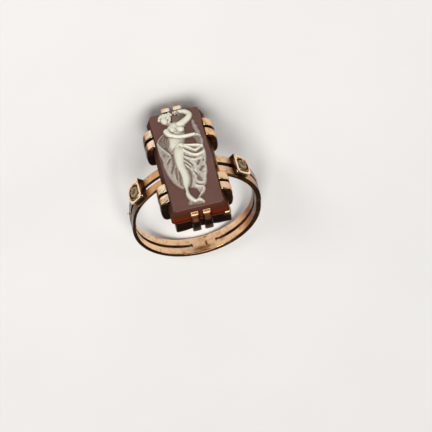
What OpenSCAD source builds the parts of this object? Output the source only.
// Rose-gold ring with an oblong carved cameo in an open-backed strap setting and two small rose-cut stones.
// It is drawn upright, with the finger along Y and the cameo up, and then laid on its side to rest.

/* [Band] */
// Radius of the finger hole's round lower half
bore_r = 8.6; // [7.5:0.1:10.5]
// Thickness of the band at the bottom
band_t = 0.65; // [0.5:0.05:1.2]
// Width of the band at the bottom
band_w = 2.7; // [2.2:0.1:3.4]
// Width of the shoulders
shoulder_w = 3.1; // [2.8:0.1:3.6]
// How far the shoulders' circles are raised above the finger's centre
shoulder_lift = 1.5; // [0.8:0.1:2]
// Width of the slot that splits the band into two rails
slot_w = 0.42; // [0.3:0.02:0.6]
// Width of the wider gap between the two shoulder bars
bar_gap = 0.6; // [0.4:0.05:0.8]
// Angle from the bottom at which the left slot ends
slot_end_left = 8.5; // [5:0.5:25]
// Angle from the bottom at which the right slot ends
slot_end_right = 17; // [5:0.5:25]
// How far the worn band stands off its middle to the right
band_shift = 0.1; // [0:0.02:0.2]

/* [Cameo] */
// Width of the cameo's upper face
field_w = 6.84; // [6:0.1:8]
// Length of the cameo's upper face
field_l = 16.54; // [14:0.1:18]
// Height of the upper face above the finger's centre
field_z = 12.78; // [12:0.1:14]
// How much wider the cameo is at its girdle, on each long side
flare_w = 0.57; // [0.3:0.05:0.8]
// How much longer the cameo is at its girdle, at each end
flare_l = 0.37; // [0.2:0.05:0.8]
// Height of the bevel between the upper face and the girdle
bevel_h = 1.92; // [1.5:0.1:2.2]
// Height of the cameo's upright edge under the girdle
edge_h = 0.4; // [0.2:0.05:0.6]
// How far the carved figure stands above the field
relief_h = 0.55; // [0.3:0.05:0.8]

/* [Head] */
// Height of the head's underside above the finger's centre
head_bottom = 8.35; // [8:0.05:8.6]
// Outer width of the head's frame
head_w = 7.74; // [7.5:0.02:8]
// How far the frame stands to the right of the cameo's middle
head_shift = 0.3; // [0:0.05:0.35]
// Thickness of the frame's wall
wall_t = 0.48; // [0.35:0.01:0.6]
// Thickness of the lip that holds the cameo's free corner
lip_t = 0.2; // [0.14:0.02:0.24]
// Space left round each stone
seat_gap = 0.04; // [0.03:0.01:0.06]

/* [Straps] */
// Width of a strap on the long sides
side_strap_w = 1.25; // [0.9:0.05:1.4]
// Width of a strap at the ends
end_strap_w = 1.17; // [0.9:0.05:1.3]
// Distance between the two straps of a pair, middle to middle
pair_pitch = 1.68; // [1.5:0.02:1.8]
// Distance from the ring's middle to the middle of a pair on the long sides
pair_y = 4.7; // [3.5:0.1:5.5]
// How far a strap on the long sides bulges from the cameo's edge
side_bulge = 0.95; // [0.7:0.01:1]
// How far the straps at the figure's head bulge from the cameo's edge
head_end_bulge = 0.85; // [0.6:0.01:0.9]
// How far the straps at the figure's feet bulge from the cameo's edge
foot_end_bulge = 0.69; // [0.6:0.01:0.9]
// Shift of the pair at the figure's head along the width
head_pair_shift = -0.18; // [-0.3:0.02:0.3]
// Shift of the pair at the figure's feet along the width
foot_pair_shift = 0.08; // [-0.3:0.02:0.3]

/* [Side stones] */
// Angle from the top at which the middle of the left setting sits
left_setting_angle = 45; // [42:0.1:46]
// Angle from the top at which the middle of the right setting sits
right_setting_angle = 42.3; // [41:0.1:46]
// Length of a side setting along the band
setting_l = 2.56; // [2.2:0.02:3]
// Width of a side setting
setting_w = 3.06; // [2.8:0.02:3.2]
// Distance from the finger's centre to the top of the left setting
left_setting_top = 11; // [10.9:0.05:11.4]
// Distance from the finger's centre to the top of the right setting
right_setting_top = 11.2; // [10.9:0.05:11.4]
// Radius of a small stone at its girdle
stone_r = 0.98; // [0.7:0.01:1.05]

/* [Hidden] */
fine = 96;

gold = [0.86, 0.60, 0.42];
sard = [0.40, 0.22, 0.18];
crystal = [0.78, 0.74, 0.68];

// Band
band_r = bore_r + band_t;
shoulder_r = band_r - 0.05;
shoulder_shift = band_shift + 0.15;
// The shoulders reach their full width at this height
full_width_z = 0.75 * bore_r;
// The slot's cutters start this far inside the finger hole, and reach this far outwards
slot_step = 0.9;
slot_reach = 4;
slot_overlap = 1;
drill_r = 0.62 * slot_w;
// The gap between the bars starts this many degrees below a setting, and ends inside the head's frame
bar_start = 5;
bar_end = 157;
// The bridge that joins the two rails at the bottom lies this much below their inner face
bridge_step = 0.03;

// Cameo, as half sizes
field_x = field_w / 2;
field_y = field_l / 2;
girdle_x = field_x + flare_w;
girdle_y = field_y + flare_l;
girdle_z = field_z - bevel_h;
stone_bottom = girdle_z - edge_h;

// Head: the frame ends flush with the cameo's ends, and the cameo lies on its upper edge
head_y = girdle_y - 0.02;
ledge_z = stone_bottom - seat_gap;
open_x = head_w / 2 - wall_t;
open_y = head_y - wall_t;
finger_room = 0.06;

// The lip at the cameo's free corner
lip_z = girdle_z + 0.06;
lip_foot = 0.25;
lip_x = 1;
lip_y = 0.8;

// Straps: tip heights and how far each tip lies out from the cameo's edge
side_tip_z = field_z - 0.3;
head_tip_z = field_z - 0.16;
foot_tip_z = field_z - 0.8;
side_tip_out = -0.39;
head_tip_out = -0.15;
foot_tip_out = -0.22;
strap_lip = 0.12;
strap_root = 0.6;
tip_gap = 0.02;

// Side settings: a low bar stands along the straight edge, and one outer corner is only a little rounded
setting_seat = 0.42;
setting_base = 9.85;
setting_corner_r = 0.4;
bar_t = 0.34;
bar_h = 0.24;

// Side stones: heights of the girdle and of the two rows of facets, and the shares of the radius these end at
stone_girdle_h = 0.22;
lower_facet_h = 0.3;
upper_facet_h = 0.28;
lower_facet_end = 0.72;
stone_table = 0.25;

// A strap's outer side as rows of [distance out from the cameo's edge, height]: its foot, its bulging side
// and its tip, which leans over the bevel. crown is how far it has dropped where it turns down.
function strap_outside(bulge, tip_z, tip_out, crown) = [
    [0.45 * bulge, head_bottom],
    [0.8 * bulge, head_bottom + 0.35],
    [bulge, head_bottom + 1.3],
    [bulge, girdle_z + 0.25],
    [0.93 * bulge, tip_z - crown - 0.5],
    [0.62 * bulge, tip_z - crown],
    [tip_out + 0.2, tip_z + strap_lip],
    [tip_out, tip_z + 0.8 * strap_lip]
];
head_strap = strap_outside(head_end_bulge, head_tip_z, head_tip_out, 0.05);
foot_strap = strap_outside(foot_end_bulge, foot_tip_z, foot_tip_out, 0.4);
side_strap = strap_outside(side_bulge, side_tip_z, side_tip_out, 0.33);
edge_x = girdle_x + seat_gap;
edge_y = girdle_y + seat_gap;

// Limbs as rows of [x, y, radius] at one end, the same at the other, and the height of their middle line
limbs = [
    // head, hair knot and neck
    [[-1.52, 7.15, 0.62], [-1.32, 7.35, 0.66], 0.06],
    [[-0.85, 7.75, 0.42], [-1.35, 7.95, 0.34], 0.02],
    [[-1.15, 6.5, 0.34], [-0.75, 6.05, 0.4], 0.0],
    // raised arm over the head
    [[0.75, 5.85, 0.44], [2.05, 6.95, 0.36], 0.0],
    [[2.05, 6.95, 0.34], [1.45, 8.0, 0.28], -0.02],
    [[1.45, 8.0, 0.28], [0.45, 8.1, 0.22], -0.02],
    [[0.45, 8.1, 0.22], [-0.3, 7.95, 0.18], -0.02],
    // chest and waist
    [[-0.7, 5.35, 0.86], [0.6, 5.3, 0.76], -0.08],
    [[-1.25, 4.85, 0.6], [-0.75, 3.6, 0.84], -0.08],
    [[0.35, 5.0, 0.7], [-0.55, 3.3, 0.84], -0.08],
    [[-0.85, 3.3, 0.88], [-0.75, 2.3, 0.98], -0.1],
    // arm across the body
    [[-1.75, 4.95, 0.42], [-0.6, 4.0, 0.34], 0.1],
    [[-0.6, 4.0, 0.33], [0.75, 3.72, 0.3], 0.12],
    [[0.75, 3.72, 0.29], [2.15, 3.72, 0.24], 0.06],
    [[2.15, 3.72, 0.23], [2.6, 2.9, 0.18], 0.0],
    // hips, thigh, shin and front foot
    [[-0.75, 2.1, 0.95], [-0.55, 1.2, 0.95], -0.06],
    [[-0.6, 1.4, 0.85], [-0.75, -0.7, 0.74], 0.02],
    [[-0.75, -0.7, 0.72], [-0.5, -2.4, 0.58], 0.04],
    [[-0.5, -2.4, 0.56], [-0.8, -4.7, 0.4], 0.02],
    [[-0.8, -4.7, 0.38], [-1.0, -5.7, 0.3], 0.0],
    [[-1.0, -5.8, 0.34], [-0.75, -7.1, 0.28], 0.0],
    // back foot
    [[-0.45, -7.35, 0.28], [0.6, -7.15, 0.24], 0.0],
    [[0.35, -7.0, 0.3], [0.75, -6.2, 0.24], -0.04]
];

// Folds of the drapery as rows of [x, y] at one end, at the other, and the fold's radius
folds = [
    // veil blown out on the left
    [[-2.1, 4.85], [-3.2, 3.4], 0.17], [[-3.2, 3.4], [-2.75, 1.95], 0.17],
    [[-2.75, 1.95], [-2.05, 0.95], 0.2],
    // edge of the drapery on the left, down to the shin
    [[-2.05, 0.95], [-2.7, -0.5], 0.22], [[-2.7, -0.5], [-2.5, -2.2], 0.24],
    [[-2.5, -2.2], [-1.75, -4.0], 0.22], [[-1.75, -4.0], [-1.1, -5.2], 0.18],
    [[-1.75, 0.2], [-1.9, -1.9], 0.2], [[-1.9, -1.9], [-1.2, -4.3], 0.2],
    // swags round the waist
    [[-1.0, 1.9], [0.6, 1.25], 0.2], [[0.6, 1.25], [2.35, 1.45], 0.2], [[-0.1, 1.9], [1.2, 0.7], 0.19],
    [[1.2, 0.7], [2.6, 0.65], 0.19], [[0.2, 1.2], [1.5, -0.3], 0.2],
    // skirt sweeping down to the right
    [[0.1, 0.6], [1.35, -2.0], 0.22], [[0.1, -0.6], [1.0, -2.9], 0.2], [[1.6, -0.1], [2.35, -1.6], 0.2],
    [[0.25, -1.9], [1.7, -4.0], 0.2], [[0.2, -2.9], [0.75, -5.0], 0.2], [[1.0, -2.2], [1.9, -3.4], 0.19],
    // falling end of the drapery on the right
    [[2.55, 5.3], [2.5, 4.3], 0.18], [[2.5, 4.3], [2.75, 2.6], 0.16], [[2.75, 2.6], [2.8, 0.6], 0.2],
    [[2.8, 0.6], [2.45, -1.9], 0.2], [[2.45, -1.9], [1.95, -4.0], 0.22], [[1.95, -4.0], [1.2, -5.9], 0.24],
    [[1.2, -5.9], [0.85, -6.5], 0.22]
];

// Thin cloth between the folds, as outlines of [x, y]
skirt_outline = [
    [-1.3, 2.0], [2.6, 1.5], [2.75, -0.2], [2.35, -2.3], [1.9, -4.2], [1.0, -5.0], [0.3, -4.6], [-0.4, -3.0],
    [-0.6, -5.0], [-1.1, -5.3], [-2.0, -3.7], [-2.75, -1.9], [-2.85, -0.4], [-2.1, 0.9]
];
veil_outline = [[-2.1, 4.8], [-1.6, 4.2], [-1.5, 2.4], [-1.9, 1.0], [-2.7, 1.95], [-3.15, 3.35]];

sheet_h = 0.14;
round_fn = 12;
// How far cloth and limbs reach down into the field, so that figure and block are one solid
cloth_root = 0.1;
limb_root = 0.05;
fold_lift = 0.04;

// How far a limb of this radius stands above its middle line
function limb_h(radius) = min(radius, 0.2 + 0.3 * radius);

// Resting pose: the ring lies on the band's far edge and on the outsides of the two straps at the far end
lie_angle = max([for (p = head_strap) atan((edge_y + p[0] - band_w / 2) / (p[1] + band_r))]);

// A point of the ring's side view (along the finger, up) as height above the surface it rests on
function rest_z(y, z) = z * sin(lie_angle) - y * cos(lie_angle);
function rest_y(y, z) = -z * cos(lie_angle) - y * sin(lie_angle);

// How far a rounded end of a limb reaches to the front once the ring lies
function limb_front(e, lift) =
    rest_y(e[1], field_z + lift) - norm([e[2] * sin(lie_angle), limb_h(e[2]) * cos(lie_angle)]);

floor_z = rest_z(band_w / 2, -band_r);
back_y = rest_y(-band_w / 2, -band_r);
front_y = min(concat(
    [for (p = head_strap) rest_y(edge_y + p[0], p[1])],
    [for (row = limbs, e = [row[0], row[1]]) limb_front(e, row[2])]
));

// One strap that stands on the frame and leans over the bevel, with the cameo's edge at x = 0
module strap(width, outside, tip_z, tip_out) {
    rotate([90, 0, 0])
        linear_extrude(height = width, center = true)
            polygon(concat(
                outside,
                [[tip_out, tip_z - tip_gap], [0, girdle_z], [0, ledge_z], [-strap_root, ledge_z],
                 [-strap_root, head_bottom]]));
}

module strap_pair(width, outside, tip_z, tip_out) {
    for (side = [-1, 1])
        translate([0, side * pair_pitch / 2, 0])
            strap(width, outside, tip_z, tip_out);
}

// All twelve straps: two pairs on each long side and one pair at each end
module straps() {
    for (turn = [0, 180], along = [-pair_y, pair_y])
        rotate([0, 0, turn])
            translate([edge_x, along, 0])
                strap_pair(side_strap_w, side_strap, side_tip_z, side_tip_out);
    translate([head_pair_shift, edge_y, 0])
        rotate([0, 0, 90])
            strap_pair(end_strap_w, head_strap, head_tip_z, head_tip_out);
    translate([foot_pair_shift, -edge_y, 0])
        rotate([0, 0, -90])
            strap_pair(end_strap_w, foot_strap, foot_tip_z, foot_tip_out);
}

// The band's full ring: a round lower part, and circles raised at the shoulders
module band_blank() {
    intersection() {
        rotate([90, 0, 0])
            union() {
                translate([band_shift, 0, 0])
                    cylinder(h = 2 * shoulder_w, r = band_r, center = true, $fn = fine);
                translate([shoulder_shift, shoulder_lift, 0])
                    cylinder(h = 2 * shoulder_w, r = shoulder_r, center = true, $fn = fine);
            }
        rotate([90, 0, 90])
            linear_extrude(height = 4 * band_r, center = true)
                polygon([
                    [-band_w / 2, -2 * band_r], [band_w / 2, -2 * band_r], [band_w / 2, 0],
                    [shoulder_w / 2, full_width_z], [shoulder_w / 2, 2 * band_r],
                    [-shoulder_w / 2, 2 * band_r], [-shoulder_w / 2, full_width_z], [-band_w / 2, 0]
                ]);
    }
}

// The finger hole: a round lower half, and the same circle raised between the shoulders
module finger_hole() {
    rotate([90, 0, 0]) {
        cylinder(h = 3 * shoulder_w, r = bore_r, center = true, $fn = fine);
        translate([band_shift, shoulder_lift, 0])
            cylinder(h = 3 * shoulder_w, r = bore_r, center = true, $fn = fine);
    }
}

// A ring sector of the slot, from one angle to another, both measured from the bottom towards +X
module slot_sector(from, to, width, reach) {
    rotate([90, 0, 0])
        rotate([0, 0, from - 90])
            rotate_extrude(angle = to - from, $fn = fine)
                translate([bore_r - slot_step, -width / 2])
                    square([slot_step + reach, width]);
}

// The slot's small drilled end
module slot_end(angle) {
    rotate([0, -angle, 0])
        translate([0, 0, -band_r - slot_step])
            cylinder(h = 2 * slot_step + band_t, r = drill_r, $fn = 24);
}

// The slot of each side, wider between the shoulder bars, and the bridge's slight step at the bottom
module slots() {
    left_bar = 180 - left_setting_angle + bar_start;
    right_bar = 180 - right_setting_angle + bar_start;
    slot_sector(slot_end_right, right_bar, slot_w, slot_reach);
    slot_sector(right_bar - slot_overlap, bar_end, bar_gap, slot_reach);
    slot_sector(-left_bar, -slot_end_left, slot_w, slot_reach);
    slot_sector(-bar_end, slot_overlap - left_bar, bar_gap, slot_reach);
    slot_sector(-slot_end_left - slot_overlap, slot_end_right + slot_overlap, slot_w, bridge_step);
    slot_end(slot_end_right);
    slot_end(-slot_end_left);
}

// Places its children on a side setting: x out along the band, away from the cameo, z away from the finger
module on_setting(side) {
    rotate([0, side > 0 ? right_setting_angle : -left_setting_angle, 0])
        rotate([0, 0, side > 0 ? 0 : 180])
            children();
}

function setting_top(side) = side > 0 ? right_setting_top : left_setting_top;

// A side setting's outline: square towards the cameo, round at its outer end, with one corner left
module setting_outline(side) {
    straight = setting_w / 2 - setting_corner_r;
    intersection() {
        union() {
            translate([-setting_l / 2, -setting_w / 2])
                square([setting_l / 2, setting_w]);
            translate([setting_l / 2 - setting_w / 2, 0])
                circle(r = setting_w / 2, $fn = 64);
            translate([0, side > 0 ? -setting_w / 2 : 0])
                square([setting_l / 2 - setting_corner_r, setting_w / 2]);
            translate([0, side > 0 ? -straight : 0])
                square([setting_l / 2, straight]);
            translate([setting_l / 2 - setting_corner_r, -side * straight])
                circle(r = setting_corner_r, $fn = 32);
        }
        square([setting_l, setting_w], center = true);
    }
}

// A side setting with the bar along its straight edge
module setting_plate(side) {
    translate([0, 0, setting_base])
        linear_extrude(height = setting_top(side) - setting_base)
            setting_outline(side);
    translate([-setting_l / 2, -setting_w / 2, setting_base])
        cube([bar_t, setting_w, setting_top(side) + bar_h - setting_base]);
}

// The round seat that a side stone drops into
module setting_hole(side) {
    translate([0, 0, setting_top(side) - setting_seat])
        cylinder(h = 2 * setting_seat, r = stone_r + seat_gap, $fn = 48);
}

// The split band with its finger hole
module band() {
    difference() {
        band_blank();
        slots();
        finger_hole();
    }
}

// The head's frame, still solid, with its underside eased where the finger passes
module head_block() {
    difference() {
        translate([head_shift - head_w / 2, -head_y, head_bottom])
            cube([head_w, 2 * head_y, ledge_z - head_bottom]);
        rotate([90, 0, 0])
            cylinder(h = 3 * head_y, r = bore_r + finger_room, center = true, $fn = fine);
    }
}

// The thin lip round the cameo's free corner, to the right of the figure's feet
module corner_lip() {
    out_x = edge_x + lip_t;
    out_y = edge_y + lip_t;
    difference() {
        translate([out_x - lip_x, -out_y, ledge_z - lip_foot])
            cube([lip_x, lip_y, lip_z - ledge_z + lip_foot]);
        translate([-edge_x, -edge_y, ledge_z])
            cube([2 * edge_x, 2 * edge_y, bevel_h]);
    }
}

module ring_mount() {
    color(gold)
        lay_down()
            difference() {
                union() {
                    band();
                    head_block();
                    corner_lip();
                    straps();
                    for (side = [-1, 1])
                        on_setting(side)
                            setting_plate(side);
                }
                translate([head_shift - open_x, -open_y, 0])
                    cube([2 * open_x, 2 * open_y, girdle_z]);
                for (side = [-1, 1])
                    on_setting(side)
                        setting_hole(side);
            }
}

// The cameo's bevelled block
module cameo_block() {
    hull() {
        translate([-field_x, -field_y, field_z - 0.01])
            cube([field_w, field_l, 0.01]);
        translate([-girdle_x, -girdle_y, stone_bottom])
            cube([2 * girdle_x, 2 * girdle_y, edge_h]);
    }
}

// A rounded limb that lies half sunk in the field, and is flattened so that the whole relief stays low
module limb(a, b, lift) {
    hull()
        for (e = [a, b])
            translate([e[0], e[1], field_z + lift])
                scale([e[2], e[2], limb_h(e[2])])
                    sphere(r = 1, $fn = round_fn);
}

module cloth(outline) {
    translate([0, 0, field_z - cloth_root])
        linear_extrude(height = cloth_root + sheet_h)
            polygon(outline);
}

module figure() {
    intersection() {
        union() {
            for (row = limbs)
                limb(row[0], row[1], row[2]);
            for (row = folds)
                limb(concat(row[0], row[2]), concat(row[1], row[2]), fold_lift);
            cloth(skirt_outline);
            cloth(veil_outline);
        }
        translate([-field_x, -field_y, field_z - limb_root])
            cube([field_w, field_l, relief_h + limb_root]);
    }
}

// One banded stone: the figure is carved from its pale layer and stands on the brown one
module cameo_stone() {
    color(sard)
        lay_down()
            union() {
                cameo_block();
                figure();
            }
}

// A rose-cut stone: eight sides, two rows of eight facets and a small table
module side_stone(side) {
    base = setting_top(side) - setting_seat + seat_gap;
    lower_end = stone_girdle_h + lower_facet_h;
    middle_r = lower_facet_end * stone_r;
    table_r = stone_table * stone_r;
    color(crystal)
        lay_down()
            on_setting(side)
                translate([0, 0, base])
                    rotate([0, 0, 22.5])
                        union() {
                            cylinder(h = stone_girdle_h, r = stone_r, $fn = 8);
                            translate([0, 0, stone_girdle_h])
                                cylinder(h = lower_facet_h, r1 = stone_r, r2 = middle_r, $fn = 8);
                            translate([0, 0, lower_end])
                                cylinder(h = upper_facet_h, r1 = middle_r, r2 = table_r, $fn = 8);
                        }
}

module side_stone_left() {
    side_stone(-1);
}

module side_stone_right() {
    side_stone(1);
}

// Turns the upright ring onto its side, cameo towards -Y, standing on z = 0 and centred along Y
module lay_down() {
    translate([0, -(front_y + back_y) / 2, -floor_z])
        rotate([0, 0, 180])
            rotate([lie_angle - 90, 0, 0])
                children();
}

ring_mount();
cameo_stone();
side_stone_left();
side_stone_right();
